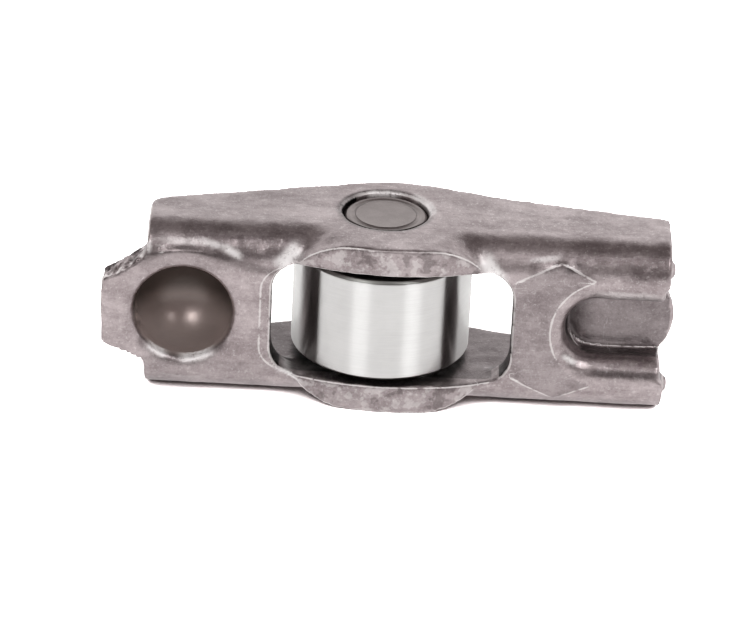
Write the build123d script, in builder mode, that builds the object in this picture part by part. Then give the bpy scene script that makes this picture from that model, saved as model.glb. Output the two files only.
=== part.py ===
from build123d import *
import os
from math import cos, pi, radians, sin, sqrt, tan

# Roller finger follower: a stamped sheet-steel rocker arm that carries a cam roller on a
# full-complement needle bearing. Millimetres. The origin is on the roller axis, midway between
# the side walls. Z is the roller axis, and the arm lies on one side wall. +X runs from the pivot
# socket to the valve end. The web is on the -Y side, and the cam rolls on the +Y side.

# ---------------------------------------------------------------- driving dimensions
body_width = 17.08  # across the outer faces of the side walls
sheet = 2.77  # thickness of the stamped sheet
bend_inner = 0.75  # inside radius where the web folds into a wall
web_y = -6.90  # outer face of the web
heel_overhang = 3.55  # end of the walls beyond the pivot
valve_x = 26.90  # end of the walls beyond the valve

# Rear edge of the side walls: two slopes that meet in a rounded crown over the axle
crown_x = 1.10
crown_y = 6.42
crown_radius = 16.0
crown_slope = 15.8  # degrees, both ways down from the crown
knee_x = 12.00  # the slope to the valve gets gentler from here
knee_radius = 12.0
valve_rear_y = 1.28
heel_corner = 1.80
valve_corner = 0.50

# Ears: over the roller the walls run straight to a curved, sheared front edge
ear_x = 0.75  # middle of the ears
ear_length = 18.05  # along the inside of the wall
ear_rise = 1.72  # how far the front edge stands out from the web
ear_slant = 45.0  # degrees, the shoulders at the ends of an ear's front edge
ear_corner = 7.00
ear_root_slant = 58.0  # the shoulders stand steeper where the ear grows out of the wall
ear_root_corner = 1.60

# Window for the roller
window_gap_heel = 1.80  # from the roller to the window's edge
window_gap_valve = 3.80
window_corner = 2.80
heel_bevel = 1.05  # die roll along the window's short edge on the pivot side
valve_bevel = 0.35  # and on the valve side
bevel_depth = 0.30

# Pivot socket, pressed through the web
pivot_x = -18.55
ball_radius = 4.65
ball_inset = 1.70  # centre of the ball behind the web face
boss_radius = 6.50  # boss that the socket's metal is driven into
boss_draft = 15.0  # degrees
boss_crown = 1.25  # sheet left behind the ball's deepest point
boss_edge = 1.30
socket_lip = 1.00  # rounding of the mouth
collar_radius = 6.70  # coined flat round the mouth
collar_end = 9.50  # width of the coined flat where it meets the window
collar_flare = 70.0  # degrees round the collar where it runs out towards the window

# Tongue of the web beyond the heel
tongue_length = 4.20  # past the end of the walls
tongue_tip = (-3.45, 3.15)  # lower and upper corner of its sheared end
tongue_neck = (-5.25, 6.05)  # where its edges leave the walls
tongue_step = (1.70, 4.15)  # knee of the upper edge: from the end, and height

# Coined flat between the window and the valve groove
flat_near = 9.90  # width at the window
flat_peak = 14.30  # width at its widest
flat_peak_gap = 0.80  # the widest place lies this far before the groove
flat_far = 11.00  # width where it runs out into the ridges
flat_overlap = 2.50  # how far it reaches along the groove
flat_proud = 0.06  # the coined flat stands out a little from the web

# Valve groove: a pad for the valve stem between two guide ridges
groove_length = 9.10  # from its closed end to the end of the ridges
groove_width = 6.20
groove_depth = 1.90  # from the top of the ridges to the crest of the pad
groove_corner = 2.60
pad_crown = 19.00  # radius of the pad, which the valve stem rolls on
pad_bulge = 1.20  # the pad's end swells past the ridges
pad_sheet = 2.30  # sheet left behind the pad
ridge_setback = 0.40  # the ridges end short of the walls
ridge_drop = 1.70  # top of the ridges behind the web face
ridge_span = 9.90  # over both ridges
ridge_lead = 1.40  # lip round the closed end of the groove
ridge_corner = 4.20
ridge_round = 0.55
crease_width = 0.40
crease_depth = 0.35
nub_radius = 0.65  # metal squeezed out of the bends at the valve end
nub_height = 0.45

# Axle, roller and needles
axle_diameter = 8.20
axle_recess = 0.40  # its ends lie below the faces of the walls
axle_chamfer = 0.45
hole_chamfer = 0.15
stake_diameter = 6.30  # ring mark left by the staking punch
stake_width = 0.50
stake_depth = 0.14
roller_diameter = 17.00
roller_side_gap = 0.58  # between the roller and a wall
roller_edge = 0.55
needle_count = 17
needle_play = 0.020  # radial clearance on each side of a needle
needle_spacing = 0.045  # gap between neighbours
needle_end_gap = 0.75  # between a needle's end and a wall

# ---------------------------------------------------------------- derived sizes
heel_x = pivot_x - heel_overhang
tongue_x = heel_x - tongue_length
ridge_x = valve_x - ridge_setback
groove_x = ridge_x - groove_length
flat_peak_x = groove_x - flat_peak_gap
flat_far_x = groove_x + flat_overlap
half_width = body_width / 2
inner_z = half_width - sheet
bend_outer = bend_inner + sheet
web_back = web_y + sheet
axle_radius = axle_diameter / 2
roller_radius = roller_diameter / 2
window_heel = -roller_radius - window_gap_heel
window_valve = roller_radius + window_gap_valve
ear_front = web_y - ear_rise
ear_start = ear_x - ear_length / 2
ear_end = ear_x + ear_length / 2
apex_y = crown_y + crown_radius * (1 / cos(radians(crown_slope)) - 1)
heel_rear_y = apex_y - tan(radians(crown_slope)) * (crown_x - heel_x)
knee_y = apex_y - tan(radians(crown_slope)) * (knee_x - crown_x)
ball_y = web_y + ball_inset
mouth_radius = sqrt(ball_radius**2 - ball_inset**2)
boss_back = ball_y + ball_radius + boss_crown
boss_top = boss_radius - tan(radians(boss_draft)) * (boss_back - boss_edge - web_back + bend_inner)
ridge_y = web_y + ridge_drop
pad_y = ridge_y + groove_depth
pad_back = pad_y + pad_sheet
crease_z = ridge_span / 2
nub_y = web_back - nub_radius / 2
nub_z = inner_z + nub_radius / 3
front = ear_front - sheet  # a plane clear in front of everything
behind = roller_radius + sheet  # a plane clear behind the walls

# A full complement: the needles fill the pitch circle but for the spacing
pitch_sine = sin(pi / needle_count)
inner_race = axle_radius + needle_play
needle_radius = (inner_race * pitch_sine - needle_spacing / 2) / (1 - pitch_sine)
pitch_radius = inner_race + needle_radius
bore_radius = pitch_radius + needle_radius + needle_play
needle_half = inner_z - needle_end_gap
roller_half = inner_z - roller_side_gap
axle_half = half_width - axle_recess


def facing_web(y):
    """Plane across the arm at depth y, seen from the web side: X right, Z up, normal -Y."""
    return Plane(origin=(0, y, 0), x_dir=(1, 0, 0), z_dir=(0, -1, 0))


FIT = 0.001  # how closely an edge must lie on a plane or circle to be picked


def lies_on(edge, y):
    """True for an edge that lies in the plane across the arm at depth y."""
    box = edge.bounding_box()
    return abs(box.min.Y - y) < FIT and abs(box.max.Y - y) < FIT


def borders_groove(edge):
    """True for an edge along the mouth of the valve groove."""
    box = edge.bounding_box()
    return max(abs(box.min.Z), abs(box.max.Z)) < groove_width / 2 + FIT and box.min.X > groove_x - FIT


# ---------------------------------------------------------------- valve groove
# The tool that forms the groove: its plan is a slot with a rounded end, and its nose leaves the
# crowned pad.
with BuildPart() as groove_cutter:
    with BuildSketch(facing_web(front)) as groove:
        with Locations((groove_x, 0)):
            Rectangle(behind, groove_width, align=(Align.MIN, Align.CENTER))
        fillet(groove.vertices().group_by(Axis.X)[0], groove_corner)
    extrude(amount=front - pad_back)
    with BuildSketch(Plane.XY.offset(-groove_width / 2)):
        with Locations(((groove_x + ridge_x + pad_bulge) / 2, pad_y + pad_crown)):
            Circle(pad_crown)
    extrude(amount=groove_width, mode=Mode.SUBTRACT)

# ---------------------------------------------------------------- rocker body
with BuildPart() as rocker_body:
    # Stock of the bent section, with the bends' outer radius along both front corners
    with BuildSketch(Plane.YZ.offset(heel_x)) as section:
        with Locations((web_y, 0)):
            Rectangle(behind - web_y, body_width, align=(Align.MIN, Align.CENTER))
        fillet(section.vertices().group_by(Axis.X)[0], bend_outer)
    extrude(amount=valve_x - heel_x)

    # Ears: full-width blocks with slanted shoulders, in front of where the bends begin. The
    # shoulders run from a steep root at the wall to the long rounding of the front edge.
    for y, slant, corner in (
        (web_y + bend_outer, ear_root_slant, ear_root_corner),
        (web_y, ear_slant, ear_corner),
    ):
        shoulder = sheet / tan(radians(slant))
        with BuildSketch(facing_web(y)) as ears:
            with BuildLine():
                Polyline(
                    (ear_start, inner_z),
                    (ear_start + shoulder, half_width),
                    (ear_end - shoulder, half_width),
                    (ear_end, inner_z),
                    (ear_end, -inner_z),
                    (ear_end - shoulder, -half_width),
                    (ear_start + shoulder, -half_width),
                    (ear_start, -inner_z),
                    close=True,
                )
            make_face()
            fillet(ears.vertices().group_by(Axis.Y)[0] + ears.vertices().group_by(Axis.Y)[-1], corner)
    loft(ruled=True)
    extrude(ears.sketch, amount=web_y - front)

    # Side outline: crown and slopes at the rear, the ears' curved edge in front
    with BuildSketch(Plane.XY.offset(-half_width)) as outline:
        with BuildLine():
            FilletPolyline(
                (heel_x, web_y),
                (heel_x, heel_rear_y),
                (crown_x, apex_y),
                (knee_x, knee_y),
                (valve_x, valve_rear_y),
                (valve_x, web_y),
                radius=[heel_corner, crown_radius, knee_radius, valve_corner],
            )
            Line((valve_x, web_y), (ear_end, web_y))
            ThreePointArc((ear_end, web_y), (ear_x, ear_front), (ear_start, web_y))
            Line((ear_start, web_y), (heel_x, web_y))
        make_face()
    extrude(amount=body_width, mode=Mode.INTERSECT)

    # Coined flats that stand out from the bends: the socket's collar and the fish-tail
    with BuildSketch(facing_web(web_y)) as collar:
        with Locations((pivot_x, 0)):
            Circle(collar_radius)
        flare = (
            collar_radius * cos(radians(collar_flare)),
            collar_radius * sin(radians(collar_flare)),
        )
        with BuildLine():
            Polyline(
                (pivot_x + flare[0], flare[1]),
                (window_heel, collar_end / 2),
                (window_heel, -collar_end / 2),
                (pivot_x + flare[0], -flare[1]),
                close=True,
            )
        make_face()
        with Locations((heel_x, 0)):
            Rectangle(2 * collar_radius + window_heel - heel_x, body_width,
                      align=(Align.MIN, Align.CENTER), mode=Mode.INTERSECT)
    extrude(amount=-sheet)
    with BuildSketch(facing_web(web_y - flat_proud)):
        with BuildLine():
            Polyline(
                (window_valve, flat_near / 2),
                (flat_peak_x, flat_peak / 2),
                (flat_far_x, flat_far / 2),
                (flat_far_x, -flat_far / 2),
                (flat_peak_x, -flat_peak / 2),
                (window_valve, -flat_near / 2),
                close=True,
            )
        make_face()
    extrude(amount=-sheet - flat_proud)

    # Tongue: the web runs on past the walls and tapers
    with BuildSketch(facing_web(web_y)):
        with BuildLine():
            Polyline(
                (heel_x, tongue_neck[1]),
                (tongue_x + tongue_step[0], tongue_step[1]),
                (tongue_x, tongue_tip[1]),
                (tongue_x, tongue_tip[0]),
                (heel_x, tongue_neck[0]),
                close=True,
            )
        make_face()
    extrude(amount=-sheet)

    # Channel between the walls, open at the rear and at both ends
    with BuildSketch(Plane.YZ.offset(heel_x)) as channel:
        with Locations((web_back, 0)):
            Rectangle(behind - web_back, 2 * inner_z, align=(Align.MIN, Align.CENTER))
        fillet(channel.vertices().group_by(Axis.X)[0], bend_inner)
    extrude(amount=valve_x - heel_x, mode=Mode.SUBTRACT)

    # Boss behind the socket, which the press drives into the channel
    with BuildSketch(Plane.XY):
        with BuildLine():
            Polyline(
                (pivot_x, web_back - bend_inner),
                (pivot_x + boss_radius, web_back - bend_inner),
                (pivot_x + boss_top, boss_back - boss_edge),
                (pivot_x + boss_top - boss_edge, boss_back),
                (pivot_x, boss_back),
                close=True,
            )
        make_face()
    revolve(axis=Axis((pivot_x, 0, 0), (0, 1, 0)))

    # The ridges and the web between them end short of the walls
    with BuildSketch(facing_web(front)):
        with Locations((ridge_x, 0)):
            Rectangle(behind, ridge_span, align=(Align.MIN, Align.CENTER))
    extrude(amount=front - web_back, mode=Mode.SUBTRACT)

    # Boss behind the valve pad, where the groove is pressed into the channel
    with BuildSketch(facing_web(pad_back)):
        with BuildLine():
            Polyline(
                (ridge_x, groove_width / 2),
                (ridge_x, inner_z),
                (groove_x - ridge_lead, inner_z),
                (groove_x - ridge_lead, -inner_z),
                (ridge_x, -inner_z),
                (ridge_x, -groove_width / 2),
            )
            ThreePointArc(
                (ridge_x, -groove_width / 2), (ridge_x + pad_bulge, 0), (ridge_x, groove_width / 2)
            )
        make_face()
    extrude(amount=pad_back - web_back)

    # Nubs of metal squeezed out of the bends at the valve end
    with BuildSketch(Plane.YZ.offset(valve_x)):
        with Locations((nub_y, nub_z), (nub_y, -nub_z)):
            Circle(nub_radius)
    extrude(amount=nub_height)

    # Window for the roller: its long edges run flush with the inside of the walls
    with BuildSketch(facing_web(front)) as window:
        with Locations((window_heel, 0)):
            Rectangle(window_valve - window_heel, 2 * inner_z, align=(Align.MIN, Align.CENTER))
        fillet(window.vertices(), window_corner)
    extrude(amount=front - web_back - bend_inner, mode=Mode.SUBTRACT)

    # Die roll: a shallow bevel along the window's two short edges
    for edge_x, reach in ((window_heel, -heel_bevel), (window_valve, valve_bevel)):
        with BuildSketch(Plane.XY):
            with BuildLine():
                Polyline(
                    (edge_x + reach, web_y - flat_proud),
                    (edge_x, web_y + bevel_depth),
                    (edge_x, front),
                    (edge_x + reach, front),
                    close=True,
                )
            make_face()
        extrude(amount=inner_z - window_corner, both=True, mode=Mode.SUBTRACT)

    # Ball socket, with a rounded mouth
    with BuildSketch(Plane.XY) as ball:
        with Locations((pivot_x, ball_y)):
            Circle(ball_radius)
        with Locations((pivot_x, web_y)):
            Rectangle(behind, behind, align=(Align.MIN, Align.MIN), mode=Mode.INTERSECT)
            Rectangle(ball_radius + socket_lip, sheet, align=(Align.MIN, Align.MAX))
        fillet(ball.vertices().sort_by_distance((pivot_x + mouth_radius, web_y, 0))[0], socket_lip)
    revolve(axis=Axis((pivot_x, 0, 0), (0, 1, 0)), mode=Mode.SUBTRACT)

    # Ridges on both sides of the valve groove, and the lip round its closed end
    with BuildSketch(facing_web(front)) as ridges:
        with Locations((groove_x - ridge_lead, 0)):
            Rectangle(behind, ridge_span, align=(Align.MIN, Align.CENTER))
        fillet(ridges.vertices().group_by(Axis.X)[0], ridge_corner)
    extrude(amount=front - ridge_y, mode=Mode.SUBTRACT)
    add(groove_cutter.part, mode=Mode.SUBTRACT)

    # A crease runs along the foot of each bend, outside the ridges
    with BuildSketch(Plane.YZ.offset(flat_far_x)):
        for side in (1, -1):
            with BuildLine():
                Polyline(
                    (ridge_y, side * crease_z),
                    (ridge_y, side * (crease_z - crease_width)),
                    (ridge_y + crease_depth, side * (crease_z - crease_width / 4)),
                    close=True,
                )
            make_face()
    extrude(amount=behind, mode=Mode.SUBTRACT)

    # Axle hole through both walls, with a chamfered mouth on each outer face
    with BuildSketch(Plane.XZ):
        with BuildLine():
            Polyline(
                (0, half_width),
                (axle_radius + hole_chamfer, half_width),
                (axle_radius, half_width - hole_chamfer),
                (axle_radius, hole_chamfer - half_width),
                (axle_radius + hole_chamfer, -half_width),
                (0, -half_width),
                close=True,
            )
        make_face()
    revolve(axis=Axis.Z, mode=Mode.SUBTRACT)

    # Rounded edges of the ridges along the groove
    fillet(rocker_body.edges().filter_by(lambda e: lies_on(e, ridge_y) and borders_groove(e)), ridge_round)

rocker_body.part.label = "rocker_body"

# ---------------------------------------------------------------- axle
with BuildPart() as axle_pin:
    with BuildSketch(Plane.XY.offset(-axle_half)):
        Circle(axle_radius)
    extrude(amount=2 * axle_half)
    chamfer(axle_pin.edges().filter_by(GeomType.CIRCLE), axle_chamfer)
    # Ring mark of the staking punch on each end
    with BuildSketch(Plane.XZ) as stake:
        for side in (1, -1):
            with BuildLine():
                Polyline(
                    (stake_diameter / 2 - stake_width / 2, side * axle_half),
                    (stake_diameter / 2, side * (axle_half - stake_depth)),
                    (stake_diameter / 2 + stake_width / 2, side * axle_half),
                    close=True,
                )
            make_face()
    revolve(axis=Axis.Z, mode=Mode.SUBTRACT)
axle_pin.part.label = "axle_pin"

# ---------------------------------------------------------------- cam roller
with BuildPart() as roller_ring:
    with BuildSketch(Plane.XY.offset(-roller_half)):
        Circle(roller_radius)
        Circle(bore_radius, mode=Mode.SUBTRACT)
    extrude(amount=2 * roller_half)
    chamfer(roller_ring.edges().filter_by(GeomType.CIRCLE).sort_by(SortBy.RADIUS)[-2:], roller_edge)
roller_ring.part.label = "roller_ring"

# ---------------------------------------------------------------- needles
needles = []
for index in range(needle_count):
    angle = 2 * pi * index / needle_count
    centre = (pitch_radius * cos(angle), pitch_radius * sin(angle))
    with BuildPart() as needle:
        with BuildSketch(Plane.XY.offset(-needle_half)):
            with Locations(centre):
                Circle(needle_radius)
        extrude(amount=2 * needle_half)
    needle.part.label = f"needle_{index + 1:02d}"
    needles.append(needle)

# ---------------------------------------------------------------- one STEP for each node
os.makedirs("parts", exist_ok=True)
for piece in (rocker_body, axle_pin, roller_ring, *needles):
    export_step(piece.part, f"parts/{piece.part.label}.step")
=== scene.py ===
"""Roller finger follower: a stamped steel rocker arm with a cam roller on needles, lying on its side."""

import logging
import math
from dataclasses import dataclass, field
from enum import Enum

import bmesh
import bpy
import numpy as np
from mathutils import Matrix, Vector
from mathutils.bvhtree import BVHTree
from mathutils.kdtree import KDTree


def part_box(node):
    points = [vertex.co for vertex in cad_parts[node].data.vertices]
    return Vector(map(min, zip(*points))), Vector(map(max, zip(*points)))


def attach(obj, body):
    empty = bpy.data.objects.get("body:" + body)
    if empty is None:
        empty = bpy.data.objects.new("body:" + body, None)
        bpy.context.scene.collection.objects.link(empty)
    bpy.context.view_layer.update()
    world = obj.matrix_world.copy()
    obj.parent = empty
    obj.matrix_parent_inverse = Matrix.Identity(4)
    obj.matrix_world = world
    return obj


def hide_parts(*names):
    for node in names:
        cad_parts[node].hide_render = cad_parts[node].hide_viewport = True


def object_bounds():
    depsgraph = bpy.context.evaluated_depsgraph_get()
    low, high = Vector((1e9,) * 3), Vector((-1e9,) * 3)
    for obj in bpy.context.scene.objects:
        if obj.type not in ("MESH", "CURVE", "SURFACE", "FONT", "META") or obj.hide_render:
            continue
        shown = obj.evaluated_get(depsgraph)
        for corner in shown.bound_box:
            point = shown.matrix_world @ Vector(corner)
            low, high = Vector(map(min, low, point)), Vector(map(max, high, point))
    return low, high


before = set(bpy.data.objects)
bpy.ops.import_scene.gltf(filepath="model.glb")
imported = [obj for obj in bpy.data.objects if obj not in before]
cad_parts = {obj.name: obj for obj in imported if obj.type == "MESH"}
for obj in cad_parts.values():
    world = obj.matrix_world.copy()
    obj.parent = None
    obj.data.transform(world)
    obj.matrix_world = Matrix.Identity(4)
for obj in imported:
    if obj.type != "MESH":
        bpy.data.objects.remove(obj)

LOG = logging.getLogger("follower")
MM = 0.001
CAD_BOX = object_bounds()

Colour = tuple[float, float, float]
Span = tuple[float, float]
ANY: Span = (-math.inf, math.inf)
BLACK: Colour = (0.0, 0.0, 0.0)
WHITE: Colour = (1.0, 1.0, 1.0)


# ---------------- shader maths
@dataclass(frozen=True)
class Clouds:
    """A noise pattern: its patches' width in metres, its octaves, how rough it is, and its stretch."""

    size: float
    detail: float = 3.0
    roughness: float = 0.6
    stretch: Colour = (1.0, 1.0, 1.0)


@dataclass(frozen=True)
class Patches:
    """Patches of a pattern: the noise levels where they are absent and whole, and how strongly they show."""

    absent: float
    whole: float
    most: float


class Value:
    """A shader socket that can be used in Python expressions."""

    def __init__(self, tree: "Shader", socket: bpy.types.NodeSocket) -> None:
        """Wraps one socket of a tree."""
        self.tree = tree
        self.socket = socket

    def _math(self, operation: str, *terms: "Value | float") -> "Value":
        """Adds a Math node on these terms."""
        return self.tree.node("ShaderNodeMath", {"operation": operation}, dict(enumerate(terms)))

    def __add__(self, other: "Value | float") -> "Value":
        """The sum."""
        return self._math("ADD", self, other)

    __radd__ = __add__

    def __sub__(self, other: "Value | float") -> "Value":
        """The difference."""
        return self._math("SUBTRACT", self, other)

    def __rsub__(self, other: "Value | float") -> "Value":
        """The difference from a number."""
        return self._math("SUBTRACT", other, self)

    def __mul__(self, other: "Value | float") -> "Value":
        """The product."""
        return self._math("MULTIPLY", self, other)

    __rmul__ = __mul__

    def size(self) -> "Value":
        """The value without its sign."""
        return self._math("ABSOLUTE", self)

    def larger(self, other: "Value | float") -> "Value":
        """The larger of the two."""
        return self._math("MAXIMUM", self, other)

    def between(self, low: float, high: float) -> "Value":
        """A smooth step from 0 at low to 1 at high."""
        limits = {"Value": self, "From Min": low, "From Max": high}
        return self.tree.node("ShaderNodeMapRange", {"interpolation_type": "SMOOTHSTEP"}, limits)

    def patches(self, kind: Patches) -> "Value":
        """The patches of a noise."""
        return self.between(kind.absent, kind.whole) * kind.most


class Shader:
    """Builds the node tree of a material or of the world."""

    def __init__(self, owner: bpy.types.ID) -> None:
        """Starts an empty tree.

        Args:
            owner: the material or world that has it.
        """
        owner.use_nodes = True
        self.owner = owner
        self.nodes = owner.node_tree.nodes
        self.links = owner.node_tree.links
        self.nodes.clear()

    @classmethod
    def material(cls, name: str) -> "Shader":
        """Starts a new material of that name."""
        return cls(bpy.data.materials.new(name))

    def node(self, kind: str, settings: dict, inputs: dict, output: str | int = 0) -> Value:
        """Adds a node.

        Args:
            kind: the node's type.
            settings: its properties, set before its sockets.
            inputs: values or links by socket name or number.
            output: the socket that is returned.

        Returns:
            That output.
        """
        made = self.nodes.new(kind)
        for key, setting in settings.items():
            setattr(made, key, setting)
        for key, given in inputs.items():
            if isinstance(given, Value):
                self.links.new(given.socket, made.inputs[key])
            elif isinstance(given, tuple) and len(given) == 3 and made.inputs[key].type == "RGBA":
                made.inputs[key].default_value = (*given, 1.0)
            else:
                made.inputs[key].default_value = given
        return Value(self, made.outputs[output])

    def place(self, space: str = "Object") -> Value:
        """The coordinates of that kind."""
        return self.node("ShaderNodeTexCoord", {}, {}, space)

    def along(self, axis: str, space: str = "Object") -> Value:
        """One coordinate, by the name of its axis."""
        return self.node("ShaderNodeSeparateXYZ", {}, {0: self.place(space)}, axis)

    def painted(self, name: str) -> Value:
        """A number kept on the mesh by the name of its attribute."""
        return self.node("ShaderNodeAttribute", {"attribute_name": name}, {}, "Fac")

    def noise(self, kind: Clouds) -> Value:
        """Noise from 0 to 1, centred on 0.5.

        Args:
            kind: the pattern.

        Returns:
            The noise.
        """
        scale = tuple(1 / (kind.size * s) for s in kind.stretch)
        place = {"Vector": self.place(), "Scale": scale}
        inputs = {
            "Vector": self.node("ShaderNodeMapping", {"vector_type": "POINT"}, place),
            "Scale": 1.0,
            "Detail": kind.detail,
            "Roughness": kind.roughness,
        }
        return self.node("ShaderNodeTexNoise", {"noise_dimensions": "3D"}, inputs)

    def blend(self, mask: Value, low: "Value | Colour", high: "Value | Colour") -> Value:
        """The first colour where the mask is 0, and the second where it is 1."""
        return self.node("ShaderNodeMix", {"data_type": "RGBA"}, {"Factor": mask, 6: low, 7: high}, 2)

    def either(self, mask: "Value | float", low: Value, high: Value) -> Value:
        """The first shader where the mask is 0, and the second where it is 1."""
        return self.node("ShaderNodeMixShader", {}, {0: mask, 1: low, 2: high})

    def bump(self, height: Value, depth: float, strength: float) -> Value:
        """A normal that follows a height from 0 to 1, for a relief of that depth in metres."""
        return self.node("ShaderNodeBump", {}, {"Height": height, "Distance": depth, "Strength": strength})

    def metal(self, settings: dict) -> Value:
        """A metal surface with the Principled shader's values and links."""
        return self.node("ShaderNodeBsdfPrincipled", {}, {"Metallic": 1.0, **settings})

    def end(self, surface: Value, kind: str = "ShaderNodeOutputMaterial") -> bpy.types.ID:
        """Links a surface to an output node of that kind.

        Args:
            surface: the shader that is shown.
            kind: the output node's type.

        Returns:
            The finished material or world.
        """
        out = self.nodes.new(kind)
        self.links.new(surface.socket, out.inputs["Surface"])
        return self.owner


# ---------------- finishes
@dataclass(frozen=True)
class StampedSteel:
    """Tumbled sheet steel: mottled, with bright edge lines from rubbing and from painted edge highlight,
    painted highlights, painted shade in hollows, and a coined ball socket painted lighter at the bottom and
    darker at the top.
    """

    pale: Colour = (0.50, 0.440, 0.445)
    dark: Colour = (0.27, 0.228, 0.232)
    # Pale colour for bright flecks, facets and chips, and for edge lines that are partly painted edge
    # highlight.
    worn_and_lit: Colour = (0.82, 0.79, 0.78)
    # Colour of the painted highlights.
    highlight_colour: Colour = (0.93, 0.91, 0.905)
    # The ball socket's lit and shaded colours: painted lighter at the bottom and darker at the top.
    coined: Colour = (0.52, 0.43, 0.405)
    shade: Colour = (0.075, 0.058, 0.050)
    # Near black: for dark flecks, facets and chips, and for painted shade.
    dark_and_shade: Colour = (0.08, 0.065, 0.063)
    wide: Clouds = Clouds(7.0 * MM, 2.0, 0.5)
    cloud: Clouds = Clouds(2.8 * MM, 4.0, 0.6, (1.6, 1.0, 1.0))
    streak: Clouds = Clouds(0.55 * MM, 3.0, 0.6, (7.0, 1.0, 1.0))
    blotch: Clouds = Clouds(0.9 * MM, 3.0, 0.65)
    grain: Clouds = Clouds(0.17 * MM, 2.0, 0.6)
    fleck: Clouds = Clouds(0.30 * MM, 4.0, 0.75)
    facets: Clouds = Clouds(1.7 * MM, 3.0, 0.6)
    chips: Clouds = Clouds(1.1 * MM, 2.0, 0.5)
    wear_and_highlight: Clouds = Clouds(0.9 * MM, 3.0, 0.7)
    mottle: Span = (0.39, 0.61)
    bright_flecks: Patches = Patches(0.55, 0.68, 0.40)
    dark_flecks: Patches = Patches(0.45, 0.34, 0.22)
    bright_facets: Patches = Patches(0.52, 0.58, 0.35)
    dark_facets: Patches = Patches(0.46, 0.38, 0.45)
    bright_chips: Patches = Patches(0.55, 0.60, 0.70)
    dark_chips: Patches = Patches(0.50, 0.44, 0.75)
    # Noise levels that break up the painted highlights.
    highlight_speckle: Span = (0.26, 0.52)
    unbroken: Span = (0.32, 0.46)
    # Heights over which the socket goes from its lit colour to its painted shade.
    socket_light: Span = (-3.0 * MM, 0.4 * MM)
    line_spread: float = 0.16
    edge_line: Span = (0.15, 0.06)
    coin_line: Patches = Patches(0.12, 0.05, 0.62)
    relief_depth: float = 0.055 * MM
    relief_strength: float = 0.6

    def build(self) -> bpy.types.Material:
        """Makes the material.

        Returns:
            The finish, ready for a piece.
        """
        s = Shader.material("stamped_steel")
        cup, cut, torn = (s.painted(name) for name in ("cup", "cut", "torn"))
        cloud, streak, blotch = s.noise(self.cloud), s.noise(self.streak), s.noise(self.blotch)
        grain, fleck, wide = s.noise(self.grain), s.noise(self.fleck), s.noise(self.wide)
        facets, chips = s.noise(self.facets), s.noise(self.chips)
        mixed = wide * 0.22 + cloud * 0.34 + blotch * 0.18 + streak * 0.14 + grain * 0.12
        tone = mixed.between(*self.mottle)
        # Painted highlights, broken up by noise.
        bright = s.painted("painted_highlight") * (fleck * 0.6 + blotch * 0.4).between(*self.highlight_speckle)
        # Bright edge lines: partly rubbing, partly painted edge highlight.
        line = self._worn_and_lit_lines(s)
        layers = (
            (fleck.patches(self.bright_flecks), self.worn_and_lit),
            (fleck.patches(self.dark_flecks), self.dark_and_shade),
            (cut * facets.patches(self.dark_facets), self.dark_and_shade),
            (cut * facets.patches(self.bright_facets), self.worn_and_lit),
            (torn * chips.patches(self.dark_chips), self.dark_and_shade),
            (torn * chips.patches(self.bright_chips), self.worn_and_lit),
            # Painted shade in the inner corners.
            (s.painted("dark_and_shade") * (0.55 + blotch * 0.5), self.dark_and_shade),
            # The socket: painted light at the bottom and painted shade at the top.
            (cup, s.blend(s.along("Z").between(*self.socket_light), self.coined, self.shade)),
            # Painted shade, with some darker tone.
            (s.painted("shade_and_tone_mask"), BLACK),
            (line, self.worn_and_lit),
            # Painted highlights.
            (bright, self.highlight_colour),
        )
        colour = s.blend(tone, self.dark, self.pale)
        for mask, over in layers:
            colour = s.blend(mask, colour, over)
        # Painted highlights and edge lines are made less metallic and rougher, so that they show bright as
        # colour.
        line = line.larger(bright)
        relief = (grain * 0.55 + fleck * 0.45 + blotch * 0.6) * (1 - cup)
        surface = s.metal({
            "Base Color": colour,
            "Metallic": 1 - cup * 0.45 - line * 0.65,
            "Roughness": 0.27 + tone * 0.05 + grain * 0.10 + cut * 0.08 + line * 0.15 - cup * 0.01,
            "Normal": s.bump(relief, self.relief_depth, self.relief_strength),
        })
        return s.end(surface)

    def _worn_and_lit_lines(self, s: Shader) -> Value:
        """The thin bright lines along edges, from rubbing and from painted edge highlight.

        Args:
            s: the material's tree.

        Returns:
            1 on a line, 0 elsewhere.
        """
        wear_and_highlight = s.noise(self.wear_and_highlight)
        narrower = self.line_spread / 2 - wear_and_highlight * self.line_spread
        edge = (s.painted("rim").size() + narrower).between(*self.edge_line) * s.painted("edge_line_strength")
        drawn = (s.painted("coin").size() + narrower).patches(self.coin_line)
        return edge.larger(drawn) * wear_and_highlight.between(*self.unbroken)


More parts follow.
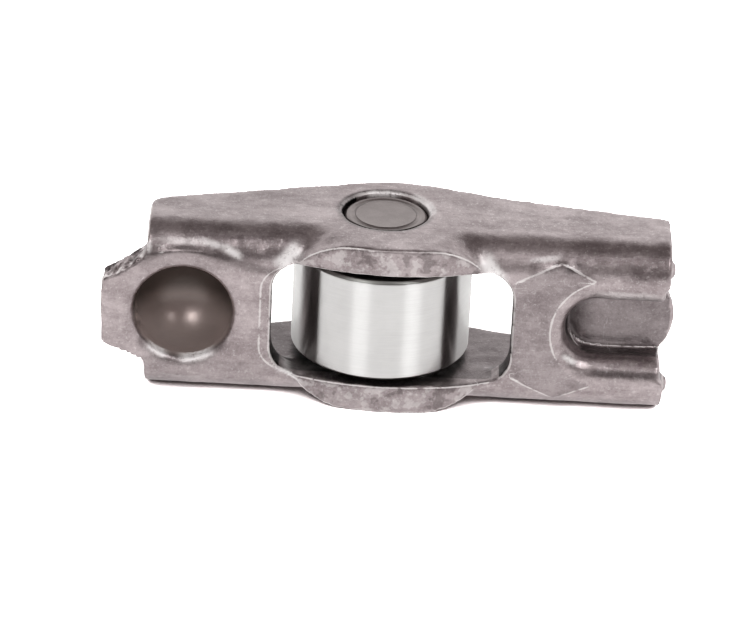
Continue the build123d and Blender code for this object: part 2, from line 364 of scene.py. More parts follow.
@dataclass(frozen=True)
class GroundSteel:
    """The cam roller: ground round, with fine marks along the turn; its ends are painted dark as shade."""

    bright: Colour = (0.88, 0.885, 0.875)
    dull: Colour = (0.77, 0.775, 0.765)
    # The ring's ends, painted dark as shade.
    rim: Colour = (0.20, 0.20, 0.19)
    lay: Clouds = Clouds(0.05 * MM, 3.0, 0.7, (60.0, 60.0, 1.0))
    cloud: Clouds = Clouds(2.4 * MM)
    streaks: Span = (0.3, 0.7)
    lobes: tuple[Span, Span] = ((0.165, 0.82), (0.40, 0.80))
    wide_share: float = 0.46
    mark_depth: float = 0.002 * MM
    mark_strength: float = 0.5
    ground_half: float = 4.87 * MM
    fade: float = 0.05 * MM

    def build(self) -> bpy.types.Material:
        """Makes the material.

        Returns:
            The finish, ready for a piece.
        """
        s = Shader.material("ground_steel")
        lay, cloud = s.noise(self.lay), s.noise(self.cloud)
        colour = s.blend((lay * 0.6 + cloud * 0.4).between(*self.streaks), self.dull, self.bright)
        marks = s.bump(lay, self.mark_depth, self.mark_strength)
        narrow, wide = (
            s.node(
                "ShaderNodeBsdfAnisotropic",
                {"distribution": "GGX"},
                {"Color": colour, "Roughness": rough, "Anisotropy": drawn_out, "Normal": marks},
            )
            for rough, drawn_out in self.lobes
        )
        # The ends past the ground face are painted dark as shade, with a roughness of their own.
        turned_and_shaded = s.metal({"Base Color": self.rim, "Roughness": 0.22 + cloud * 0.3})
        past = s.along("Z").size().between(self.ground_half, self.ground_half + self.fade)
        return s.end(s.either(past, s.either(self.wide_share, narrow, wide), turned_and_shaded))


@dataclass(frozen=True)
class HardSteel:
    """Hardened steel with faint turning marks, darker past a radius where that is given, the dark ring wider
    on the web side.
    """

    name: str
    pale: Colour
    dark: Colour
    roughness: float
    dark_from: float = 0.0
    dark_ring: Colour = (0.05, 0.042, 0.04)
    dark_fade: float = 0.10 * MM
    dark_shift: float = 0.52 * MM
    cloud: Clouds = Clouds(1.1 * MM)
    grain: Clouds = Clouds(0.14 * MM, 2.0)
    mottle: Span = (0.32, 0.68)
    grain_depth: float = 0.03 * MM
    grain_strength: float = 0.35

    def build(self) -> bpy.types.Material:
        """Makes the material.

        Returns:
            The finish, ready for a piece.
        """
        s = Shader.material(self.name)
        cloud, grain = s.noise(self.cloud), s.noise(self.grain)
        colour = s.blend((cloud * 0.6 + grain * 0.4).between(*self.mottle), self.dark, self.pale)
        # Darker past a radius about a centre moved away from the web, so the dark ring is wider on the web
        # side.
        if self.dark_from:
            x, y = s.along("X"), s.along("Y") - self.dark_shift
            limits = (self.dark_from**2, (self.dark_from + self.dark_fade) ** 2)
            colour = s.blend((x * x + y * y).between(*limits), colour, self.dark_ring)
        surface = s.metal({
            "Base Color": colour,
            "Roughness": self.roughness + grain * 0.14,
            "Normal": s.bump(grain, self.grain_depth, self.grain_strength),
        })
        return s.end(surface)


AXLE_STEEL = HardSteel("axle_steel", (0.285, 0.253, 0.248), (0.23, 0.204, 0.20), 0.30, dark_from=3.90 * MM)
NEEDLE_STEEL = HardSteel("needle_steel", (0.70, 0.70, 0.70), (0.55, 0.55, 0.55), 0.16)


# ---------------- mesh helpers
def read_rows(source: bpy.types.bpy_prop_collection, name: str) -> np.ndarray:
    """A vector property of each item of a collection, as rows.

    Args:
        source: the collection.
        name: the property.

    Returns:
        One row for each item.
    """
    found = np.empty(len(source) * 3, np.float32)
    source.foreach_get(name, found)
    return found.reshape(-1, 3).astype(float)


def write_points(mesh: bpy.types.Mesh, points: np.ndarray) -> None:
    """Moves the mesh's vertices to these rows."""
    mesh.vertices.foreach_set("co", points.astype(np.float32).ravel())
    mesh.update()


def paint(mesh: bpy.types.Mesh, name: str, values: np.ndarray) -> None:
    """Keeps a number for each vertex on the mesh, for its material."""
    made = mesh.attributes.new(name, "FLOAT", "POINT")
    made.data.foreach_set("value", values.astype(np.float32))


def step(values: np.ndarray, low: float, high: float) -> np.ndarray:
    """A smooth step from 0 at low to 1 at high."""
    t = np.clip((values - low) / (high - low), 0, 1)
    return t * t * (3 - 2 * t)


def hump(*offsets: np.ndarray) -> np.ndarray:
    """A flat-topped hump: 1 where the offsets are 0, and nearly 0 where one is past 1."""
    return np.exp(-sum(offset**4 for offset in offsets))


def above(low: float) -> Span:
    """The span from a limit upwards."""
    return low, math.inf


def below(high: float) -> Span:
    """The span up to a limit."""
    return -math.inf, high


class Waves:
    """Smooth random relief made of plane waves, the same each time."""

    def __init__(self, seed: int, length: float, count: int = 40) -> None:
        """Draws the waves.

        Args:
            seed: of the random draws.
            length: the mean wavelength, in millimetres.
            count: how many waves are summed.
        """
        rng = np.random.default_rng(seed)
        way = rng.normal(size=(count, 3))
        way /= np.linalg.norm(way, axis=1, keepdims=True)
        self.way = way * (2 * math.pi / (length * rng.uniform(0.6, 1.7, (count, 1))))
        self.phase = rng.uniform(0, 2 * math.pi, count)
        self.gain = math.sqrt(2 / count)

    def at(self, points: np.ndarray) -> np.ndarray:
        """The relief at each point, about -1 to 1."""
        return np.sin(points @ self.way.T + self.phase).sum(axis=1) * self.gain


def lathe(name: str, profile: list[Span], turns: int) -> bpy.types.Mesh:
    """Turns a closed profile round Z.

    Args:
        name: the mesh's name.
        profile: (radius, height) points in metres, in order round the section. Radius 0 makes a pole.
        turns: steps round the axis.

    Returns:
        The closed mesh, with its faces outwards.
    """
    bm = bmesh.new()
    rings = []
    for radius, height in profile:
        steps = turns if radius else 1
        angles = [2 * math.pi * i / turns for i in range(steps)]
        rings.append([bm.verts.new((radius * math.cos(a), radius * math.sin(a), height)) for a in angles])
    pairs = list(zip(rings, rings[1:]))
    if profile[0][0] > 0:
        pairs.append((rings[-1], rings[0]))
    for lower, upper in pairs:
        for i in range(turns):
            j = (i + 1) % turns
            ring = [row[k % len(row)] for row, k in ((lower, i), (lower, j), (upper, j), (upper, i))]
            corners = list(dict.fromkeys(ring))
            if len(corners) > 2:
                bm.faces.new(corners)
    bmesh.ops.recalc_face_normals(bm, faces=bm.faces)
    for face in bm.faces:
        face.smooth = True
    mesh = bpy.data.meshes.new(name)
    bm.to_mesh(mesh)
    bm.free()
    return mesh


def rounded(corners: list[tuple[float, float, float]], steps: int) -> list[Span]:
    """Rounds the corners of a profile.

    Args:
        corners: (radius, height, rounding) of each corner in order. A corner with no rounding stays sharp.
        steps: points along each rounding.

    Returns:
        The profile's points.
    """
    points = []
    for i, (r, h, rounding) in enumerate(corners):
        if rounding <= 0:
            points.append((r, h))
            continue
        here = np.array((r, h))
        before = np.array(corners[i - 1][:2]) - here
        after = np.array(corners[(i + 1) % len(corners)][:2]) - here
        start = here + before / np.linalg.norm(before) * rounding
        end = here + after / np.linalg.norm(after) * rounding
        for t in np.linspace(0, 1, steps):
            point = (1 - t) ** 2 * start + 2 * t * (1 - t) * here + t**2 * end
            points.append((float(point[0]), float(point[1])))
    return points


def show(mesh: bpy.types.Mesh, name: str, material: bpy.types.Material) -> bpy.types.Object:
    """Puts a mesh in the scene as a piece with that material.

    Args:
        mesh: its shape.
        name: its name.
        material: its finish.

    Returns:
        The piece.
    """
    mesh.materials.clear()
    mesh.materials.append(material)
    piece = bpy.data.objects.new(name, mesh)
    bpy.context.scene.collection.objects.link(piece)
    return piece


def made_plain(holder: bpy.types.Object, name: str) -> bpy.types.Mesh:
    """Turns an object with modifiers into a plain mesh and removes the object.

    Args:
        holder: the object, in the scene.
        name: the new mesh's name.

    Returns:
        The mesh that the modifiers make.
    """
    graph = bpy.context.evaluated_depsgraph_get()
    mesh = bpy.data.meshes.new_from_object(holder.evaluated_get(graph))
    mesh.name = name
    bpy.data.objects.remove(holder)
    return mesh


# ---------------- places on the body
@dataclass(frozen=True)
class Region:
    """A box in millimetres: along the arm, towards its open side, across it, and across on both sides."""

    x: Span = ANY
    y: Span = ANY
    z: Span = ANY
    side: Span = ANY

    def holds(self, points: np.ndarray) -> np.ndarray:
        """True for the points inside.

        Args:
            points: rows in millimetres.

        Returns:
            One value for each point.
        """
        x, y, z = points.T
        pairs = ((x, self.x), (y, self.y), (z, self.z), (np.abs(z), self.side))
        return np.logical_and.reduce([(values > low) & (values < high) for values, (low, high) in pairs])


@dataclass(frozen=True)
class Spot:
    """A painted highlight spot on the web: place, half length, half width, turn in degrees and strength."""

    x: float
    z: float
    long: float
    wide: float
    turn: float
    most: float

    def at(self, points: np.ndarray) -> np.ndarray:
        """How bright it is at each point.

        Args:
            points: rows in millimetres.

        Returns:
            0 to its strength.
        """
        x, _, z = (points - (self.x, 0.0, self.z)).T
        c, s = math.cos(math.radians(self.turn)), math.sin(math.radians(self.turn))
        return self.most * hump((x * c + z * s) / self.long, (z * c - x * s) / self.wide)


def towards(points: np.ndarray, turn: float) -> np.ndarray:
    """How squarely points lie in a direction from the axle.

    Args:
        points: rows in millimetres.
        turn: the direction, in degrees from the valve end towards the open side.

    Returns:
        1 straight in that direction, -1 straight away from it.
    """
    x, y, _ = points.T
    c, s = math.cos(math.radians(turn)), math.sin(math.radians(turn))
    return (x * c + y * s) / np.hypot(x, y).clip(1e-6, None)


@dataclass(frozen=True)
class Arc:
    """An arc round the axle hole, used for painted highlights and for painted shade, and how squarely a point
    lies on its turn where it ends and is full.
    """

    radius: float
    wide: float
    turn: float
    ends: float
    full: float
    most: float
    face: Region = Region(side=above(7.8))

    def at(self, points: np.ndarray) -> np.ndarray:
        """How strong it is at each point.

        Args:
            points: rows in millimetres.

        Returns:
            0 to its strength.
        """
        away = (np.hypot(points[:, 0], points[:, 1]) - self.radius) / self.wide
        there = hump(away) * self.face.holds(points)
        return there * step(towards(points, self.turn), self.ends, self.full) * self.most


# ---------------- the stamped body
@dataclass
class SharpEdges:
    """The CAD body's sharp edges as closely spaced points, in millimetres."""

    points: np.ndarray
    tangents: np.ndarray
    side: np.ndarray
    opening: np.ndarray
    tree: KDTree
    spacing: float = 0.08
    widest_angle: float = 2.2
    end_slack: float = 0.15
    end_slope: float = 8.0

    @classmethod
    def of(
        cls, bm: bmesh.types.BMesh, convex: bool, least: float, hidden: tuple[Region, ...]
    ) -> "SharpEdges":
        """Collects them.

        Args:
            bm: the merged CAD mesh, in millimetres.
            convex: whether the outer or the inner edges are meant.
            least: the smallest angle between the faces, in degrees.
            hidden: the regions to leave out.

        Returns:
            The points with the direction of their edge and of its two sides.
        """
        sign = 1 if convex else -1
        joined = [e for e in bm.edges if len(e.link_faces) == 2]
        kept = [e for e in joined if sign * math.degrees(e.calc_face_angle_signed(0)) > least]
        sides = cls._sides(kept)
        rows: list[list] = [[], [], [], []]
        for e in kept:
            a, b = e.verts[0].co, e.verts[1].co
            count = max(1, round((b - a).length / cls.spacing))
            first, second = sides[e.index]
            opening = math.cos(min(first.angle(second), cls.widest_angle) / 2)
            shared = ((b - a).normalized(), (first - second).normalized(), opening)
            for k in range(count):
                for row, value in zip(rows, (a.lerp(b, (k + 0.5) / count), *shared)):
                    row.append(value)
        points = np.array(rows[0])
        seen = ~np.logical_or.reduce([region.holds(points) for region in hidden])
        kept_rows = [np.array(row)[seen] for row in rows]
        tree = KDTree(len(kept_rows[0]))
        for i, point in enumerate(kept_rows[0]):
            tree.insert(point, i)
        tree.balance()
        return cls(*kept_rows, tree)

    @staticmethod
    def _sides(edges: list) -> dict:
        """Names the two faces of each edge so that a face keeps its side along a chain of edges.

        Args:
            edges: the sharp edges.

        Returns:
            Both normals by edge index, in a steady order.
        """
        by_vert: dict = {}
        for e in edges:
            for v in e.verts:
                by_vert.setdefault(v.index, []).append(e)
        sides: dict = {}
        for start in edges:
            if start.index in sides:
                continue
            sides[start.index] = tuple(f.normal.copy() for f in start.link_faces)
            todo = [start]
            while todo:
                e = todo.pop()
                first, second = sides[e.index]
                for other in (o for v in e.verts for o in by_vert[v.index]):
                    if other.index in sides:
                        continue
                    a, b = (f.normal.copy() for f in other.link_faces)
                    straight = first.dot(a) + second.dot(b)
                    crossed = first.dot(b) + second.dot(a)
                    sides[other.index] = (a, b) if straight >= crossed else (b, a)
                    todo.append(other)
        return sides

    def measure(self, points: np.ndarray) -> tuple[np.ndarray, np.ndarray]:
        """Measures how far points are from the nearest edge.

        Args:
            points: rows in millimetres.

        Returns:
            The distance, and the distance with a sign that tells the edge's two sides apart. The second
            grows steeply past the end of an edge.
        """
        index = np.array([self.tree.find(p)[1] for p in points])
        away = points - self.points[index]
        along = (away * self.tangents[index]).sum(axis=1, keepdims=True)
        away -= along * self.tangents[index]
        signed = (away * self.side[index]).sum(axis=1) / self.opening[index]
        past_the_end = (np.abs(along[:, 0]) - self.end_slack).clip(0, None)
        signed += np.sign(signed) * past_the_end * self.end_slope
        return np.linalg.norm(away, axis=1), signed


@dataclass(frozen=True)
class ShadeAndTone:
    """How much darker each place of the body is painted: mostly painted shade in hollows, cuts and creases,
    and a darker tone on the coined flat, the heel walls and the lenses.
    """

    pad: float = 0.44
    closed_pad: float = 0.32
    coined: float = 0.23
    heel_walls: float = 0.14
    lens: float = 0.09
    foot: float = 0.42
    inner_faces: float = 0.52
    channel: float = 0.60
    window_cut: float = 0.62
    plate_shade: float = 0.62
    groove_walls: float = 0.36
    # A ring of painted shade round the axle hole.
    hole: Arc = Arc(4.34, 0.34, 30.0, 0.88, 0.60, 0.50)


@dataclass(frozen=True)
class WearAndHighlights:
    """How bright the edge lines are, from rubbing and from painted edge highlight, and where highlights are
    painted: crescents on the socket's lip, arcs round the axle hole and spots on the web.
    """

    # Strengths of the edge lines, which are partly rubbing and partly painted edge highlight.
    edges: tuple[float, ...] = (0.85, 0.9, 0.8)
    ear: float = 0.85
    upper_ear_z: float = 6.6
    upper_ear: tuple[tuple[float, ...], ...] = ((-2.4, -1.2, 2.3, 3.6, 6.0), (0.95, 0.15, 0.15, 0.45, 0.95))
    hole_least: float = 0.12
    hole_more: float = 0.55
    hole_turn: float = 75.0
    hole_span: Span = (0.30, 0.80)
    # Painted highlights: crescents on the socket's lip, arcs round the axle hole and spots on the web.
    lip_radius: float = 4.70
    lip_wide: float = 0.52
    lip_arcs: tuple[tuple[float, float, float], ...] = ((-30.0, 13.0, 0.85), (17.0, 20.0, 1.0))
    arcs: tuple[Arc, ...] = (Arc(4.42, 0.36, 24.0, 0.80, 0.95, 0.6), Arc(4.20, 0.22, 94.0, 0.90, 0.97, 0.8))
    spots: tuple[Spot, ...] = (
        Spot(10.2, 6.05, 1.45, 0.72, -50.0, 1.0),
        Spot(-8.9, 6.35, 1.25, 0.70, 42.0, 1.0),
        Spot(-18.6, 7.24, 2.20, 0.24, -1.0, 0.32),
        Spot(-15.7, 7.05, 1.60, 0.26, -12.0, 0.55),
        Spot(-14.1, 6.55, 0.95, 0.34, -24.0, 0.85),
        Spot(15.1, 7.25, 1.35, 0.20, 8.0, 0.55),
        Spot(22.9, 3.90, 3.30, 0.55, 0.0, 0.36),
        Spot(-8.55, -5.72, 1.30, 0.17, -26.0, 0.85),
        Spot(-21.86, 6.62, 0.15, 0.50, 0.0, 0.80),
        Spot(17.9, -2.95, 0.75, 0.22, -35.0, 0.9),
    )


@dataclass
class Zones:
    """The places on the body that were worked differently, and where shade and highlights are painted.
    Millimetres.

    A mask has one value for each point: 1 where the work was done and 0 elsewhere. The limits named level,
    square, mostly and half are of the part of a face's normal along an axis.
    """

    points: np.ndarray
    flat: np.ndarray
    pivot: tuple[float, float, float] = (-18.55, -5.20, 0.0)
    cup_rim: Span = (4.77, 5.10)
    cup_mouth: Span = (5.9, 6.5)
    web: float = -6.90
    window: Span = (-10.30, 12.30)
    window_corner: float = 2.80
    window_lip: float = 0.14
    lip_from: float = 10.0
    heel_roll: float = 1.05
    roll_gap: float = 0.02
    inner_wall: float = 5.77
    groove_half: float = 3.10
    mouth_y: float = -4.80
    mouth_fade: float = 0.3
    groove_margin: float = 0.9
    pad_y: float = -3.30
    pad_crown: float = 19.0
    pad_middle: float = 22.55
    pad_rise: float = 0.12
    pad_inset: float = 0.06
    pad_margin: float = 0.5
    pad_turn: Span = (0.3, 0.6)
    coined_edge: tuple[Span, Span, Span] = ((12.30, 4.95), (16.60, 7.15), (19.90, 5.50))
    coined_end: Span = (21.60, 5.68)
    line_reach: float = 1.5
    closed_reach: float = 0.6
    end_slack: float = 0.1
    no_line: float = 2.0
    level: float = 0.1
    square: float = 0.9
    mostly: float = 0.7
    half: float = 0.5
    arm_end: float = 20.0
    torn_x: Span = (22.15, 22.6)
    torn_turn: Span = (0.5, 0.9)
    hole_rim: float = 4.75
    shade_fade: Span = (0.12, 0.70)
    closed_pad_x: Span = (18.0, 20.6)
    heel_fade: Span = (-14.0, 0.0)
    foot_z: Span = (-4.20, 0.34)
    foot_x: Span = (19.6, 20.6)
    toe_x: Span = (17.75, 0.85)
    toe_z: Span = (6.72, 0.45)
    wall: Region = Region(side=above(5.57))
    ear_cut: Region = Region(y=below(-6.95), side=above(5.57))
    ear_edge: Region = Region(y=below(-7.10), side=above(5.47))
    lens: Region = Region(y=below(-7.10), side=above(5.57))
    window_edge: Region = Region(x=(-11.2, 13.2), y=below(-6.3), side=below(5.97))
    pad_edge: Region = Region(x=above(18.0), y=(-4.2, -2.6), z=(-3.4, 0.0))
    wall_end: Region = Region(x=(-22.6, -20.5), z=above(6.3))
    outer_face: Region = Region(side=above(8.1))
    torn_patch: Region = Region(y=below(-4.3))
    coined_flat: Region = Region(x=above(12.4), y=below(-6.45))
    closed_line: Region = Region(x=below(19.9), z=(-3.4, 5.5))
    lip_web: Region = Region(y=below(-6.45), side=below(5.3))
    pad_line: Region = Region(x=(18.3, 26.6), y=(-4.6, -2.4), z=(-3.6, -1.0))
    heel_web: Region = Region(x=(-12.7, -9.4), y=below(-6.45))
    heel_side: Region = Region(x=(-11.6, -7.6), y=below(-6.3), side=below(5.6))
    coined_part: Region = Region(x=(12.30, 19.90), y=below(-6.5))
    heel_plate: Region = Region(x=below(-9.0), z=above(4.0))
    window_shade: Region = Region(x=(-10.7, 12.7), y=above(-6.8), side=below(5.77))
    inner_face: Region = Region(x=above(-13.0), y=above(-6.1), side=below(5.87))
    channel: Region = Region(x=below(17.0), y=above(-4.4), side=below(5.67))
    window_cut: Region = Region(x=(-10.6, 12.6), y=above(-6.65))
    heel_walls: Region = Region(side=above(4.8))
    web_side: Region = Region(y=below(-6.3))
    socket_lip: Region = Region(y=below(-5.9), z=below(0.0))
    front: Region = Region(y=below(-4.6))
    groove: Region = Region(x=above(17.2), y=below(-2.7), side=below(3.3))
    shade_and_tone: ShadeAndTone = ShadeAndTone()
    wear_and_highlight: WearAndHighlights = WearAndHighlights()

    def _in(self, region: Region) -> np.ndarray:
        """True for the points inside a region."""
        return region.holds(self.points)

    def cup(self) -> np.ndarray:
        """The ball socket."""
        away = np.linalg.norm(self.points - np.array(self.pivot), axis=1)
        return (1 - step(away, *self.cup_rim)) * (1 - step(-self.points[:, 1], *self.cup_mouth))

    def cut(self) -> np.ndarray:
        """The faces that the blanking die cut.

        Returns:
            The mask.
        """
        nx, ny, nz = self.flat.T
        edgewise = np.abs(nz) < self.level
        ear = self._in(self.ear_cut) & edgewise
        rear = self._in(self.wall) & edgewise & (ny > self.half)
        ends = (np.abs(nx) > self.square) & (np.abs(self.points[:, 0]) > self.arm_end)
        return (ear | rear | ends).astype(float)

    def torn(self) -> np.ndarray:
        """The torn edges of the tongue."""
        across = step(1 - np.abs(self.flat[:, 1]), *self.torn_turn)
        return across * step(-self.points[:, 0], *self.torn_x) * self._in(self.torn_patch)

    def edge_line_strength(self) -> np.ndarray:
        """How bright the line along an edge is, from rubbing and from painted edge highlight; round the axle
        hole it is brighter on one side.

        Returns:
            0 for no line to 1.
        """
        x, y, z = self.points.T
        wear_and_highlight = self.wear_and_highlight
        ear = np.where(z > wear_and_highlight.upper_ear_z, np.interp(x, *wear_and_highlight.upper_ear), wear_and_highlight.ear)
        facing = step(towards(self.points, wear_and_highlight.hole_turn), *wear_and_highlight.hole_span)
        hole = self._in(self.outer_face) & (np.hypot(x, y) < self.hole_rim)
        places = [self._in(r) for r in (self.ear_edge, self.window_edge, self.pad_edge, self.wall_end)]
        return np.select([*places, hole], [ear, *wear_and_highlight.edges, wear_and_highlight.hole_least + wear_and_highlight.hole_more * facing], 0.0)

    def coin(self) -> np.ndarray:
        """Signed distance from the lines that the press left on the web, which are drawn as bright lines from
        rubbing and from painted edge highlight.

        Returns:
            Millimetres, cut off where there is no line.
        """
        edge = self._flat_line()
        lip = np.where(self._in(self.lip_web), self._lip_line(), self.no_line)
        nearer = (self.points[:, 0] > self.lip_from) & (np.abs(lip) < np.abs(edge))
        edge = np.where(nearer, lip, edge)
        edge = np.where(self._in(self.pad_line), self._pad_line(), edge)
        roll = (self._roll_oval() - 1) * 0.5 * (2 * self.window_corner + self.heel_roll)
        roll = np.sign(roll * lip) * np.minimum(np.abs(lip), np.abs(roll) + self.roll_gap)
        return np.where(self._in(self.heel_web), roll, edge).clip(-self.no_line, self.no_line)

    def _flat_line(self) -> np.ndarray:
        """Signed distance from the outline of the coined flat beside the valve groove.

        Returns:
            Millimetres.
        """
        x, _, z = self.points.T
        side = np.abs(z)
        best = np.full(len(x), self.no_line)
        for a, b in zip(self.coined_edge, self.coined_edge[1:]):
            start, way = np.array(a), np.array(b) - np.array(a)
            length = np.linalg.norm(way)
            along = way / length
            t = (x - start[0]) * along[0] + (side - start[1]) * along[1]
            away = (side - start[1]) * along[0] - (x - start[0]) * along[1]
            held = (t > -self.end_slack) & (t < length + self.end_slack)
            best = np.where(held & (np.abs(away) < np.abs(best)), away, best)
        best = np.where(np.abs(best) < self.line_reach, best, self.no_line)
        closed = np.hypot(x - self.coined_end[0], z) - self.coined_end[1]
        curved = self._in(self.closed_line) & (closed < self.closed_reach) & (np.abs(closed) < np.abs(best))
        return np.where(self._in(self.coined_flat), np.where(curved, closed, best), self.no_line)

    def _lip_line(self) -> np.ndarray:
        """Signed distance from the window's rounded outline, a little way out.

        Returns:
            Millimetres.
        """
        x, _, z = self.points.T
        middle, half = sum(self.window) / 2, (self.window[1] - self.window[0]) / 2
        corner_x = (np.abs(x - middle) - half + self.window_corner).clip(0, None)
        corner_z = (np.abs(z) - self.inner_wall + self.window_corner).clip(0, None)
        return np.hypot(corner_x, corner_z) - self.window_corner - self.window_lip

    def _pad_line(self) -> np.ndarray:
        """Signed distance from the foot of the valve groove's crowned pad.

        Returns:
            Millimetres.
        """
        x, y, z = self.points.T
        fall = np.sqrt((self.pad_crown**2 - (x - self.pad_middle) ** 2).clip(0, None))
        floor_y = self.pad_y + self.pad_crown - fall
        return np.where(y > floor_y - self.pad_rise, z + self.groove_half - self.pad_inset, y - floor_y)

    def _roll_oval(self) -> np.ndarray:
        """The distance from the window's middle on the heel side, as a share of the die roll's outline.

        Returns:
            1 on the outline, less inside it.
        """
        x, _, z = self.points.T
        past = (np.abs(z) - (self.inner_wall - self.window_corner)).clip(0, None)
        before = (self.window[0] + self.window_corner - x).clip(0, None)
        return np.hypot(before / (self.window_corner + self.heel_roll), past / self.window_corner)

    def rolled(self) -> np.ndarray:
        """How far into the die roll on the window's heel side, from 0 at its line to 1 at the window."""
        share = (self.window_corner + self.heel_roll) / self.heel_roll
        return self._in(self.heel_side) * ((1 - self._roll_oval()) * share).clip(0, 1)

    def coined(self) -> np.ndarray:
        """The coined flat beside the valve groove.

        Returns:
            The mask.
        """
        x, _, z = self.points.T
        middle, radius = self.coined_end
        inside = (np.abs(z) < np.interp(x, *zip(*self.coined_edge))) & (np.hypot(x - middle, z) > radius)
        return (inside & self._in(self.coined_part)).astype(float)

    def dark_and_shade(self, deep: np.ndarray) -> np.ndarray:
        """How dark the painted shade is in the inner corners: along the crease round the heel plate, on the
        window's end faces and on the groove's walls.

        Args:
            deep: distance from the nearest inner edge.

        Returns:
            0 for none to 1 for black.
        """
        nx, _, nz = np.abs(self.flat.T)
        plate = self._in(self.heel_plate) * (1 - step(deep, *self.shade_fade)) * self.shade_and_tone.plate_shade
        window = self._in(self.window_shade) & (nx > self.mostly)
        slot = self._slot(self.groove_margin) * (nz > self.half) * self.shade_and_tone.groove_walls
        return np.maximum.reduce([plate, window.astype(float), slot]) * (1 - self.cup())

    def shade_and_tone_mask(self) -> np.ndarray:
        """How much darker the metal is painted: mostly painted shade, with a darker tone on the coined flat,
        the heel walls and the lenses.

        Returns:
            0 for no darker to 1 for black.
        """
        x, _, z = self.points.T
        nx, ny, nz = self.flat.T
        shade_and_tone = self.shade_and_tone
        # Painted shade: the groove's pad, darker near its closed end, the crease by the lower bead, a spot
        # beside the coined flat's peak, the hidden inner faces, the channel, the window's cut faces and a
        # ring round the axle hole.
        pad = self._slot(self.pad_margin) * (1 - step(np.abs(nz), *self.pad_turn))
        foot = hump((z - self.foot_z[0]) / self.foot_z[1]) * step(x, *self.foot_x) * self._in(self.web_side)
        foot += hump((x - self.toe_x[0]) / self.toe_x[1], (z - self.toe_z[0]) / self.toe_z[1])
        hidden = (
            self._in(self.inner_face) * (np.abs(nz) > self.square) * shade_and_tone.inner_faces,
            self._in(self.channel) * shade_and_tone.channel,
            self._in(self.window_cut) * (np.abs(nx) > self.mostly) * shade_and_tone.window_cut,
        )
        shade = (
            pad * shade_and_tone.pad
            + pad * (1 - step(x, *self.closed_pad_x)) * shade_and_tone.closed_pad
            + self.coined() * shade_and_tone.coined
            + (1 - step(x, *self.heel_fade)) * self._in(self.heel_walls) * shade_and_tone.heel_walls
            + self._in(self.lens) * (ny < -self.square) * shade_and_tone.lens
            + foot * shade_and_tone.foot
            + np.maximum.reduce(hidden)
            + shade_and_tone.hole.at(self.points)
        )
        return np.clip(shade, 0, 1) * (1 - self.cup())

    def painted_highlight(self) -> np.ndarray:
        """Where highlights are painted: spots on the web, crescents on the socket's lip and arcs round the
        axle hole.

        Returns:
            0 for none to 1.
        """
        x, _, z = self.points.T
        wear_and_highlight = self.wear_and_highlight
        spots = np.maximum.reduce([spot.at(self.points) for spot in wear_and_highlight.spots]) * self._in(self.front)
        from_pivot = x - self.pivot[0]
        around = np.degrees(np.arctan2(from_pivot, -z))
        ring = hump((np.hypot(from_pivot, z) - wear_and_highlight.lip_radius) / wear_and_highlight.lip_wide) * self._in(self.socket_lip)
        lip = ring * sum(hump((around - turn) / half) * most for turn, half, most in wear_and_highlight.lip_arcs)
        hole = sum(arc.at(self.points) for arc in wear_and_highlight.arcs)
        return np.maximum.reduce([spots, lip, hole])

    def _slot(self, margin: float) -> np.ndarray:
        """The inside of the valve groove, from this far below its rolled mouth."""
        top = self.mouth_y + margin
        return self._in(self.groove) * step(self.points[:, 1], top, top + self.mouth_fade)


@dataclass
class GrooveMouth:
    """The beads that roll from the web into the valve groove, as a filler for the skin. Millimetres."""

    closed_x: float = 17.40
    half: float = 2.95
    corner: float = 2.50
    end_x: float = 26.50
    web: float = -6.90
    base: float = -4.45
    side_radius: float = 2.30
    end_radius: float = 1.55
    reach: float = 2.30
    arc_steps: int = 14
    rows: int = 14
    covered: Region = Region(x=(15.7, 26.3), y=below(-4.45), side=below(5.3))

    def outline(self) -> list[tuple[Vector, Vector]]:
        """The groove's outline from one open end to the other.

        Returns:
            Points, each with the direction away from the groove.
        """
        cx, cz = self.closed_x + self.corner, self.half - self.corner
        path = [(Vector((self.end_x, self.half)), Vector((0, 1)))]
        for side, first, last in ((1, 90, 180), (-1, 180, 270)):
            for i in range(self.arc_steps + 1):
                a = math.radians(first + (last - first) * i / self.arc_steps)
                away = Vector((math.cos(a), math.sin(a)))
                path.append((Vector((cx, side * cz)) + away * self.corner, away))
        path.append((Vector((self.end_x, -self.half)), Vector((0, -1))))
        return path

    def add(self, bm: bmesh.types.BMesh) -> None:
        """Adds the closed filler.

        Args:
            bm: the body's mesh.
        """
        rings = []
        for point, away in self.outline():
            radius = self.side_radius + (self.end_radius - self.side_radius) * abs(away.x)
            ring = []
            for i in range(self.rows + 1):
                out = self.reach * i / self.rows
                inward = max(radius - out, 0.0)
                rise = radius - math.sqrt(radius**2 - inward**2)
                ring.append((point + away * out, self.web + rise))
            ring += [(point + away * self.reach, self.base), (point, self.base)]
            rings.append([bm.verts.new((p.x, y, p.y)) for p, y in ring])
        made = []
        for one, two in zip(rings, rings[1:]):
            for i in range(len(one)):
                j = (i + 1) % len(one)
                made.append(bm.faces.new((one[i], one[j], two[j], two[i])))
        made += [bm.faces.new(rings[0]), bm.faces.new(rings[-1])]
        bmesh.ops.recalc_face_normals(bm, faces=made)


